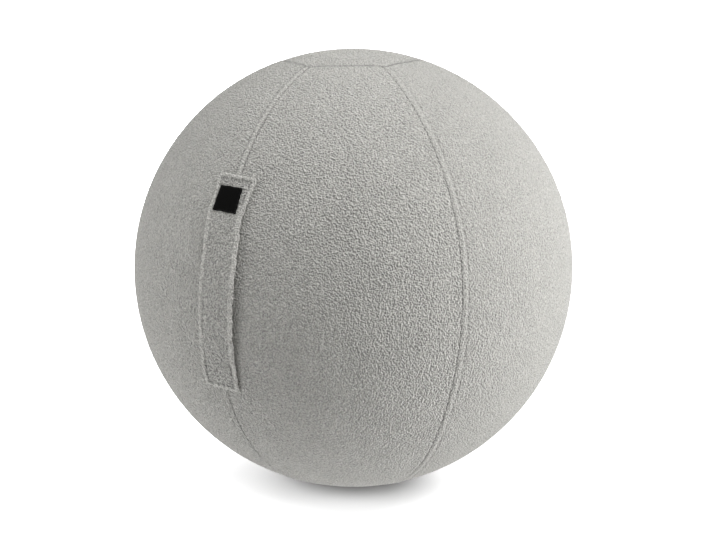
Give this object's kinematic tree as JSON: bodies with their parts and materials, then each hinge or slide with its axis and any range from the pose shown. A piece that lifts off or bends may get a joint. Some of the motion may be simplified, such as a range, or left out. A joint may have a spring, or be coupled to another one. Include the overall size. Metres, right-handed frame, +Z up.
{
  "type": "sitting ball",
  "caption": "Round sitting ball: an inflated ball in a sewn fleece cover of gores and caps, with a carrying strap, a bare woven label and a rear zip.",
  "frame": {"origin": "middle of the flat patch on which the ball rests on the floor", "axes": "+Z up through the poles of the cover; -Y towards the seam that carries the strap; +Y towards the seam with the zip"},
  "size_m": [0.6488, 0.6619, 0.6475],
  "materials": {
    "fleece": "short curly pile, matt",
    "webbing": "woven polyester band",
    "label": "tightly woven, matt",
    "pvc": "soft satin PVC",
    "plug": "moulded",
    "zip_tape": "woven polyester tape",
    "zip_teeth": "moulded",
    "zip_metal": "die-cast and plated, satin"
  },
  "bodies": {
    "ball": {"gore_1": "fleece", "gore_2": "fleece", "gore_3": "fleece", "gore_4": "fleece", "gore_5": "fleece", "gore_6": "fleece", "top_cap": "fleece", "base_cap": "fleece", "handle_strap": "fleece", "handle_webbing": "webbing", "woven_label": "label", "inner_ball": "pvc", "valve_plug": "plug", "zip_tape_left": "zip_tape", "zip_tape_right": "zip_tape", "zip_teeth_left": "zip_teeth", "zip_teeth_right": "zip_teeth", "zip_top_stop_left": "zip_metal", "zip_top_stop_right": "zip_metal", "zip_bottom_stop": "zip_metal"},
    "slider": {"zip_slider": "zip_metal"},
    "pull": {"zip_pull": "zip_metal"}
  },
  "joints": [
    {"name": "zip_travel", "type": "hinge", "parent": "ball", "child": "slider", "pos_m": [0, 0, 0.32253], "axis": [1, 0, 0], "range_deg": [0, 39], "deforming": ["zip_teeth_left", "zip_teeth_right"]},
    {"name": "pull_swing", "type": "hinge", "parent": "slider", "child": "pull", "pos_m": [0, 0.1698, 0.0446], "axis": [1, 0, 0], "range_deg": [-54, 116]}
  ]
}
